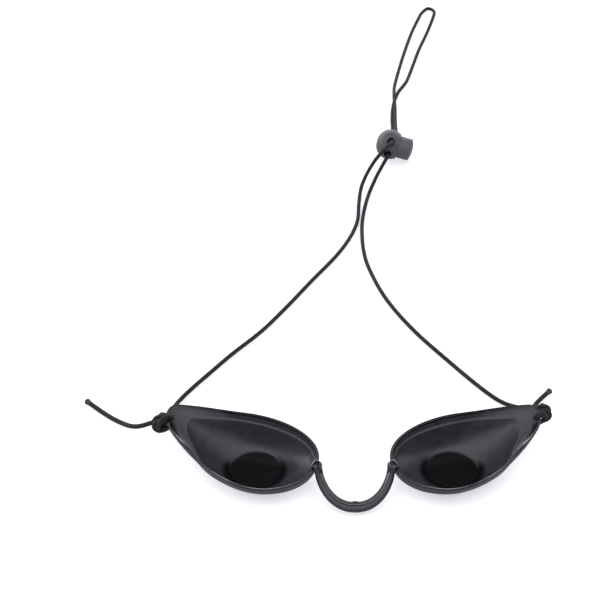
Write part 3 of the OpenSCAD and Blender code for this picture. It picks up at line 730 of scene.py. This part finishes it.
STRAP_X, STRAP_TOP, STRAP_LOW, STRAP_END_Y, STRAP_DROP = 15.9, 13.2644, 4, 5.2, 14.8
STRAP_WIDTH, STRAP_THICKNESS, LAP_THICKNESS = 5, 2.8, 2.6
STRAP_SQUARENESS, PEG_TURN = 2.2, 24
PEG_D, PEG_HEAD_D, PEG_HEAD_H, PEG_PITCH, PEG_DOWN, LAP_WALL = 1.7, 2.5, 0.8, 3, 1.3, 1.2431
LAP_AT_X = -27.1224
PEG_ROOT, PEG_SEAT = 1.6, LAP_WALL + 0.5  # a peg's shaft into the strap, and through the cup
STRAP_STATIONS, STRAP_FULLNESS = 150, 0.7
GROOVE_AT, GROOVE_DEPTH, GROOVE_WIDTH = 0.95, 0.42, 0.42
RIDGE_AT, RIDGE_HEIGHT, RIDGE_WIDTH = -0.7, 0.22, 1.0
NIB_AT, NIB_HEIGHT, NIB_WIDTH, NIB_LENGTH = 1.9, 0.75, 0.55, 1.3
SOFT_END = [(0.9, 0.1), (0.7, 0.16)]  # an end ring's share of the width, and how far it stands out
HOOK_R, HOOK_ANGLES = 1.2, [25, 50, 75, 90]
HOOK_TAB = [(0.7, 0), (1.3, 0), (1.7, -0.12)]  # how far beyond the bend, and how far up
HOOK_THICKNESS = (2.3, 2.0, 1.7, 1.5, 1.3, 1.1, 0.5)


def strap_middle(q):
    """A point of the strap's middle line, which runs from the right cup at 0 to the left at pi."""
    e = 2 / STRAP_SQUARENESS
    deep = math.sin(max(0, min(math.pi, q))) ** e
    across = math.copysign(abs(math.cos(q)) ** e, math.cos(q))
    return np.array([STRAP_X * across, -STRAP_END_Y - STRAP_DROP * deep ** 1.4,
                     mix(STRAP_TOP, STRAP_LOW, deep)])


def even_section(points, count):
    """As many points as asked, evenly spaced along a closed section."""
    loop = np.vstack([points, points[:1]])
    way = way_along(loop)
    at = np.linspace(0, way[-1], count, endpoint=False)
    return np.column_stack([np.interp(at, way, loop[:, i]) for i in (0, 1)])


def strap_section(thick, groove, nib):
    """Across the strap. The first value runs to the nose side, the second one downwards. A
    rounded ridge and a shallow groove run along the upper face, and the nib of the moulding
    stands on its nose edge."""
    turn = np.linspace(0, 2 * np.pi, 480, endpoint=False)
    c, s = np.cos(turn), np.sin(turn)
    v = STRAP_WIDTH / 2 * np.sign(c) * np.abs(c) ** STRAP_FULLNESS
    w = thick / 2 * np.sign(s) * np.abs(s) ** STRAP_FULLNESS
    upper = np.clip(-s * 3, 0, 1)
    w += upper * groove * (GROOVE_DEPTH * bell(v - GROOVE_AT, GROOVE_WIDTH)
                           - RIDGE_HEIGHT * bell(v - RIDGE_AT, RIDGE_WIDTH))
    w -= upper * nib * bell(v - NIB_AT, NIB_WIDTH)
    return even_section(np.column_stack([v, w]), 64)


def strap_hook():
    """Each end of the strap bends over the rim. The first values run outwards over it, the
    second ones upwards, the third ones are the strap's thickness there."""
    bend = [(HOOK_R * (1 - math.cos(a)), HOOK_R * math.sin(a)) for a in np.radians(HOOK_ANGLES)]
    tab = [(HOOK_R + out, HOOK_R + up) for out, up in HOOK_TAB]
    return [(*p, thick) for p, thick in zip(bend + tab, HOOK_THICKNESS)]


def hook_rings(side):
    """The rings of one bent end, from the strap outwards."""
    w = unit(np.array([-side * math.tan(math.radians(PEG_TURN)), 1, 0]))
    out = np.array([w[1] * side, abs(w[0]), 0])
    hook = strap_hook()
    path = np.array([strap_middle(0 if side > 0 else math.pi) + out * o + [0, 0, z]
                     for o, z, _ in hook])
    rings = []
    for p, t, (_, _, thick) in zip(path, np.gradient(path, axis=0), hook):
        down = unit(np.cross(-side * t, w))
        section = strap_section(thick, 0, 0)
        rings.append(p + np.outer(section[:, 0] * 0.94, w) + np.outer(section[:, 1], down))
    return rings


def strap_rings():
    rings = []
    for i in range(STRAP_STATIONS + 1):
        q = math.pi * i / STRAP_STATIONS
        p = strap_middle(q)
        t = unit(strap_middle(q + 0.01) - strap_middle(q - 0.01))
        w = unit(np.array([-math.tan(math.radians(PEG_TURN)) * math.cos(q), 1, 0]))
        down = unit(np.cross(t, w))
        thick = mix(LAP_THICKNESS, STRAP_THICKNESS, min(1, 1.5 * math.sin(q)))
        groove = min(1, max(0, (math.sin(q) - 0.25) / 0.3))
        nib = NIB_HEIGHT * bell(p[0], NIB_LENGTH) * (math.sin(q) > 0.5)
        section = strap_section(thick, groove, nib)
        rings.append(p + np.outer(section[:, 0], w) + np.outer(section[:, 1], down))
    return hook_rings(1)[::-1] + rings + hook_rings(-1)


def with_soft_ends(rings):
    """Rounds off both ends of the strap."""
    def eased(ring, beyond):
        middle, out = ring.mean(0), unit(ring.mean(0) - beyond.mean(0))
        return [middle + (ring - middle) * s + out * o for s, o in SOFT_END]
    return eased(rings[0], rings[1])[::-1] + rings + eased(rings[-1], rings[-2])


bridge = closed_skin("bridge_strap", with_soft_ends(strap_rings()), STRAP_BLACK)


def geometry_tree(name, inputs):
    """A new geometry tree with these named inputs."""
    tree = bpy.data.node_groups.new(name, "GeometryNodeTree")
    tree.interface.new_socket("Geometry", in_out="OUTPUT", socket_type="NodeSocketGeometry")
    for label, kind in inputs:
        tree.interface.new_socket(label, in_out="INPUT", socket_type="NodeSocket" + kind)
    return tree, node(tree, "NodeGroupInput"), node(tree, "NodeGroupOutput")


def grown(name, tree, values, material):
    """What the geometry tree makes with these inputs, as a plain piece."""
    holder = bpy.data.objects.new(name + "_grower", bpy.data.meshes.new(name + "_seed"))
    bpy.context.scene.collection.objects.link(holder)
    modifier = holder.modifiers.new("grow", "NODES")
    modifier.node_group = tree
    sockets = {s.name: s.identifier for s in tree.interface.items_tree if s.in_out == "INPUT"}
    for label, value in values.items():
        modifier[sockets[label]] = value
    return taken_as_mesh(holder, name, material)


def peg_tree():
    """A row of pegs along Y: each has a shaft along Z and a head that is swaged over."""
    tree, given, result = geometry_tree("strap_pegs", [
        ("Pitch", "Float"), ("Shaft radius", "Float"), ("Shaft length", "Float"),
        ("Head radius", "Float"), ("Head height", "Float"), ("Material", "Material")])
    get = given.outputs
    shaft = node(tree, "GeometryNodeMeshCylinder", {
        "Vertices": 40, "Radius": get["Shaft radius"], "Depth": get["Shaft length"]})
    down = sums(tree, "MULTIPLY", get["Shaft length"], -0.5)
    shaft_at = node(tree, "ShaderNodeCombineXYZ", {"Z": down})
    shaft_low = node(tree, "GeometryNodeTransform", {
        "Geometry": shaft.outputs["Mesh"], "Translation": shaft_at.outputs[0]})
    ball = node(tree, "GeometryNodeMeshUVSphere", {
        "Segments": 40, "Rings": 20, "Radius": get["Head radius"]})
    flat = node(tree, "ShaderNodeCombineXYZ", {
        "X": 1.0, "Y": 1.0, "Z": sums(tree, "DIVIDE", get["Head height"], get["Head radius"])})
    head = node(tree, "GeometryNodeTransform", {
        "Geometry": ball.outputs["Mesh"], "Scale": flat.outputs[0]})
    peg = node(tree, "GeometryNodeJoinGeometry")
    for part in (shaft_low, head):
        tree.links.new(part.outputs[0], peg.inputs[0])
    start = node(tree, "ShaderNodeCombineXYZ", {"Y": sums(tree, "MULTIPLY", get["Pitch"], -0.5)})
    step = node(tree, "ShaderNodeCombineXYZ", {"Y": get["Pitch"]})
    row = node(tree, "GeometryNodeMeshLine", {
        "Count": 2, "Start Location": start.outputs[0], "Offset": step.outputs[0]})
    pegs = node(tree, "GeometryNodeInstanceOnPoints", {
        "Points": row.outputs[0], "Instance": peg.outputs[0]})
    real = node(tree, "GeometryNodeRealizeInstances", {0: pegs.outputs[0]})
    dressed = node(tree, "GeometryNodeSetMaterial", {
        "Geometry": real.outputs[0], "Material": get["Material"]})
    tree.links.new(dressed.outputs[0], result.inputs[0])
    return tree


def make_bridge():
    tree = peg_tree()
    values = {"Pitch": PEG_PITCH * MM, "Shaft radius": PEG_D / 2 * MM,
              "Shaft length": (PEG_ROOT + PEG_SEAT) * MM, "Head radius": PEG_HEAD_D / 2 * MM,
              "Head height": PEG_HEAD_H * MM, "Material": STRAP_BLACK}
    for side, name in ((1, "pegs_right"), (-1, "pegs_left")):
        pegs = grown(name, tree, values, STRAP_BLACK)
        at = (DISC_PITCH / 2 + LAP_AT_X, -STRAP_END_Y, rim_z(-STRAP_END_Y) - PEG_DOWN)
        placed(pegs, Matrix.Translation(at)
               @ turned(PEG_TURN, "Z")
               @ turned(90, "Y")
               @ Matrix.Translation((0, 0, PEG_SEAT)))
        if side < 0:
            placed(pegs, Matrix.Scale(-1, 4, (1, 0, 0)))
            pegs.data.flip_normals()
        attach(pegs, "goggles")
    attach(bridge, "goggles")
    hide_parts("nose_bridge")


make_bridge()


# ---- The cord lock ----

LOCK_D, LOCK_ROUND, LOCK_BACK, LOCK_FRONT, COLLAR_D = 17, 7.6, 8, 4.6, 14.4
BUTTON_D, BUTTON_OUT, BUTTON_DOME, BUTTON_PLAY = 12.4, 8.4, 1.4, 0.2
BUTTON_IN, BUTTON_CHAMFER, BORE_END, POCKET_D = -2.2, 1.2, -4.6, 5.3
SPRING_BACK, SPRING_FRONT, SPRING_D, WIRE_D, SPRING_TURNS = -6, -1.5, 4.7, 0.45, 3
SPRING_PLAY = 0.1
BAR_X, WINDOW_X, WINDOW_Z = -0.7, 4.1, 5.3
FLARE_IN, FLARE_LONG, FLARE_WIDE = 1.8, 2.6, 1.5  # of the cord holes' mouths


def corners(*points):
    return [np.array(p, float) for p in points]


def lock_body_profile():
    """From the back of the ball over its collar and down the bore to the spring's seat."""
    round_r, round_x = LOCK_D / 2 - LOCK_ROUND, LOCK_ROUND - LOCK_BACK
    neck = round_x + math.sqrt(LOCK_ROUND ** 2 - (COLLAR_D / 2 - round_r) ** 2)
    end = math.atan2(COLLAR_D / 2 - round_r, neck - round_x)
    ball = [np.array([round_x + LOCK_ROUND * math.cos(a), round_r + LOCK_ROUND * math.sin(a)])
            for a in np.linspace(math.pi, end, 40)]
    bore = BUTTON_D / 2 + BUTTON_PLAY
    front = rounded(
        [ball[-2]] + corners((neck, COLLAR_D / 2), (LOCK_FRONT, COLLAR_D / 2),
                             (LOCK_FRONT, bore + 0.4), (LOCK_FRONT - 1.2, bore),
                             (BORE_END + BUTTON_CHAMFER, bore),
                             (BORE_END, bore - BUTTON_CHAMFER), (BORE_END, POCKET_D / 2),
                             (SPRING_BACK, POCKET_D / 2), (SPRING_BACK, 0.2)),
        [0.5, 0.3, 0.1, 0.3, 0.3, 0.3, 0.1, 0.1], 5)
    return [np.array([-LOCK_BACK, 0.4]), np.array([-LOCK_BACK, 1.6])] + ball[:-2] + list(front)


def cord_hole_cutter(side):
    """A cord hole through the body, its mouths flared like a trumpet."""
    r = HOLE_D / 2
    mouth = math.sqrt((LOCK_D / 2) ** 2 - (HOLE_PITCH / 2) ** 2)
    flare = [(mouth - FLARE_IN + FLARE_LONG * t,
              r + FLARE_WIDE * (1 - math.sqrt(max(0, 1 - t * t)))) for t in np.linspace(0, 1, 10)]
    half = flare + [(LOCK_D, r + 1.9), (LOCK_D, 0.2)]
    profile = [(-x, w) for x, w in half[::-1]] + half
    cutter = lathe("drill", profile, LOCK_GREY, 64)
    return placed(cutter, Matrix.Translation((0, 0, side * HOLE_PITCH / 2))
                  @ turned(90, "Z"))


def block(name, low, high, material):
    """A box between two corners."""
    low, high = np.array(low, float) * MM, np.array(high, float) * MM
    points = [(x, y, z) for x in (low[0], high[0]) for y in (low[1], high[1])
              for z in (low[2], high[2])]
    faces = [(0, 1, 3, 2), (4, 6, 7, 5), (0, 4, 5, 1), (2, 3, 7, 6), (0, 2, 6, 4), (1, 5, 7, 3)]
    mesh = bpy.data.meshes.new(name)
    mesh.from_pydata(points, [], faces)
    return finished(name, mesh, material)


def make_lock_body():
    body = lathe("lock_shell", lock_body_profile(), LOCK_GREY, 128)
    body = cut_away(body, [cord_hole_cutter(1), cord_hole_cutter(-1)], LOCK_GREY, 30)
    placed(body, LOCK_FRAME)
    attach(body, "lock")
    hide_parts("lock_body")


def make_button():
    """The button with its domed end and the window that pinches the cords."""
    end, r = LOCK_FRONT + BUTTON_OUT, BUTTON_D / 2
    dome_r = (r * r + BUTTON_DOME ** 2) / (2 * BUTTON_DOME)
    dome = [np.array([end - dome_r + math.sqrt(dome_r ** 2 - (r * s) ** 2), r * s])
            for s in np.linspace(0.93, 0.05, 14)]
    profile = rounded(
        corners((BUTTON_IN, 0.4), (BUTTON_IN, r - BUTTON_CHAMFER),
                (BUTTON_IN + BUTTON_CHAMFER, r), (end - BUTTON_DOME, r)) + dome[:1],
        [0.2, 0.3, 0.7], 6)
    button = lathe("lock_plunger", list(profile) + dome[1:], BUTTON_GREY, 128)
    window = block("window_cutter", (BAR_X, -r - 1, -WINDOW_Z), (WINDOW_X, r + 1, WINDOW_Z),
                   BUTTON_GREY)
    pocket = lathe("pocket_cutter", [(BUTTON_IN - 1, 0.2), (BUTTON_IN - 1, POCKET_D / 2),
                                     (SPRING_FRONT, POCKET_D / 2), (SPRING_FRONT, 0.2)],
                   BUTTON_GREY, 48)
    button = cut_away(button, [window, pocket], BUTTON_GREY, 30)
    placed(button, LOCK_FRAME)
    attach(button, "button")
    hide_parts("lock_button")


def coil_tree():
    """A coil spring along Z."""
    tree, given, result = geometry_tree("coil_spring", [
        ("Turns", "Float"), ("Coil radius", "Float"), ("Length", "Float"),
        ("Wire radius", "Float"), ("Material", "Material")])
    get = given.outputs
    spiral = node(tree, "GeometryNodeCurveSpiral", {
        "Resolution": 40, "Rotations": get["Turns"], "Start Radius": get["Coil radius"],
        "End Radius": get["Coil radius"], "Height": get["Length"]})
    wire = node(tree, "GeometryNodeCurvePrimitiveCircle", {
        "Resolution": 12, "Radius": get["Wire radius"]})
    coil = node(tree, "GeometryNodeCurveToMesh", {
        "Curve": spiral.outputs[0], "Profile Curve": wire.outputs["Curve"], "Fill Caps": True})
    real = node(tree, "GeometryNodeRealizeInstances", {0: coil.outputs[0]})
    dressed = node(tree, "GeometryNodeSetMaterial", {
        "Geometry": real.outputs[0], "Material": get["Material"]})
    tree.links.new(dressed.outputs[0], result.inputs[0])
    return tree


def make_spring():
    """The spring sits between the body's seat at its back and the button's pocket at its front."""
    room = WIRE_D / 2 + SPRING_PLAY
    back, front = SPRING_BACK + room, SPRING_FRONT - room
    spring = grown("lock_coil", coil_tree(), {
        "Turns": float(SPRING_TURNS), "Coil radius": (SPRING_D - WIRE_D) / 2 * MM,
        "Length": (front - back) * MM, "Wire radius": WIRE_D / 2 * MM,
        "Material": SPRING_STEEL}, SPRING_STEEL)
    placed(spring, LOCK_FRAME @ Matrix.Translation((back, 0, 0))
           @ turned(90, "Y"))
    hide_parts("lock_spring")
    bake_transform(spring)


make_lock_body()
make_button()
make_spring()


# ---- The cord's pieces ride on the goggles ----


for piece in (strands, knot_left, knot_right, tail_left, tail_right, tail_end_left,
              tail_end_right):
    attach(piece, "goggles")
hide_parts("cord_strand_left", "cord_run_out", "cord_loop", "cord_run_back",
            "cord_strand_right")
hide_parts("cord_knot_left")
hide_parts("cord_knot_right")
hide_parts("cord_tail_left")
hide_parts("cord_tail_right")


# ---- Floor and light ----

FLOOR_HALF, FLOOR_PALE = 4, (0.66, 0.66, 0.66, 1)
FLOOR_GLOW_SEEN, FLOOR_GLOW_MIRRORED = 0.45, 0.05
# The tent's brightness by the height of the way that one looks in, as a sine
TENT_BACK = [(0.0, 0.10), (0.14, 0.10), (0.19, 1.0), (0.33, 1.0), (0.39, 0.002), (0.80, 0.002),
             (0.87, 0.24), (1.0, 0.27)]
TENT_FRONT = [(0.0, 0.10), (0.5, 0.10), (0.75, 0.20), (1.0, 0.27)]
TENT_TURN = -0.05, 0.3  # that way's Y, where the front turns into the back
TENT_STRENGTH, TENT_TO_RIGHT = 8.0, -2.4  # it is brighter on the left
TENT_TINT = (0.985, 0.965, 1.05, 1)
WHITE = (1, 1, 1, 1)


def make_floor():
    mesh = bpy.data.meshes.new("floor")
    h = FLOOR_HALF
    mesh.from_pydata([(-h, -h, 0), (h, -h, 0), (h, h, 0), (-h, h, 0)], [], [(0, 1, 2, 3)])
    floor = bpy.data.objects.new("floor", mesh)
    material, tree, shader = new_material("floor_white", 0.9, Base_Color=FLOOR_PALE,
                                          Specular_IOR_Level=0.0)
    rays = node(tree, "ShaderNodeLightPath").outputs
    mirrored_ray = sums(tree, "MAXIMUM", rays["Is Glossy Ray"], rays["Is Transmission Ray"])
    strength = sums(tree, "ADD", sums(tree, "MULTIPLY", rays["Is Camera Ray"], FLOOR_GLOW_SEEN),
                    sums(tree, "MULTIPLY", mirrored_ray, FLOOR_GLOW_MIRRORED))
    glow = node(tree, "ShaderNodeEmission", {"Color": WHITE, "Strength": strength})
    both = node(tree, "ShaderNodeAddShader", {0: shader.outputs[0], 1: glow.outputs[0]})
    tree.links.new(both.outputs[0], tree.nodes["Material Output"].inputs["Surface"])
    mesh.materials.append(material)
    bpy.context.scene.collection.objects.link(floor)


def make_world():
    """A light tent with a soft box overhead and a long bright panel low behind the goggles. It
    is dark where a level face mirrors it to the camera, and white where the camera sees it."""
    world = bpy.data.worlds.new("studio")
    bpy.context.scene.world = world
    world.use_nodes = True
    tree = world.node_tree
    tree.nodes.clear()
    way = node(tree, "ShaderNodeTexCoord").outputs["Generated"]
    parts = node(tree, "ShaderNodeSeparateXYZ", {0: way})
    back = graded(tree, parts.outputs["Z"], TENT_BACK)
    front = graded(tree, parts.outputs["Z"], TENT_FRONT)
    tent = mixed_colour(tree, ranged(tree, parts.outputs["Y"], *TENT_TURN), front, back)
    tinted = mixed_colour(tree, 1.0, tent, TENT_TINT, blend_type="MULTIPLY")
    strength = node(tree, "ShaderNodeMath", {0: parts.outputs["X"], 1: TENT_TO_RIGHT,
                                             2: TENT_STRENGTH}, operation="MULTIPLY_ADD")
    rays = node(tree, "ShaderNodeLightPath")
    room = node(tree, "ShaderNodeBackground", {"Color": tinted, "Strength": strength.outputs[0]})
    white = node(tree, "ShaderNodeBackground", {"Color": WHITE, "Strength": 1.0})
    seen = node(tree, "ShaderNodeMixShader", {
        0: rays.outputs["Is Camera Ray"], 1: room.outputs[0], 2: white.outputs[0]})
    node(tree, "ShaderNodeOutputWorld", {"Surface": seen.outputs[0]})


make_floor()
make_world()
bpy.context.scene.view_settings.view_transform = "Standard"
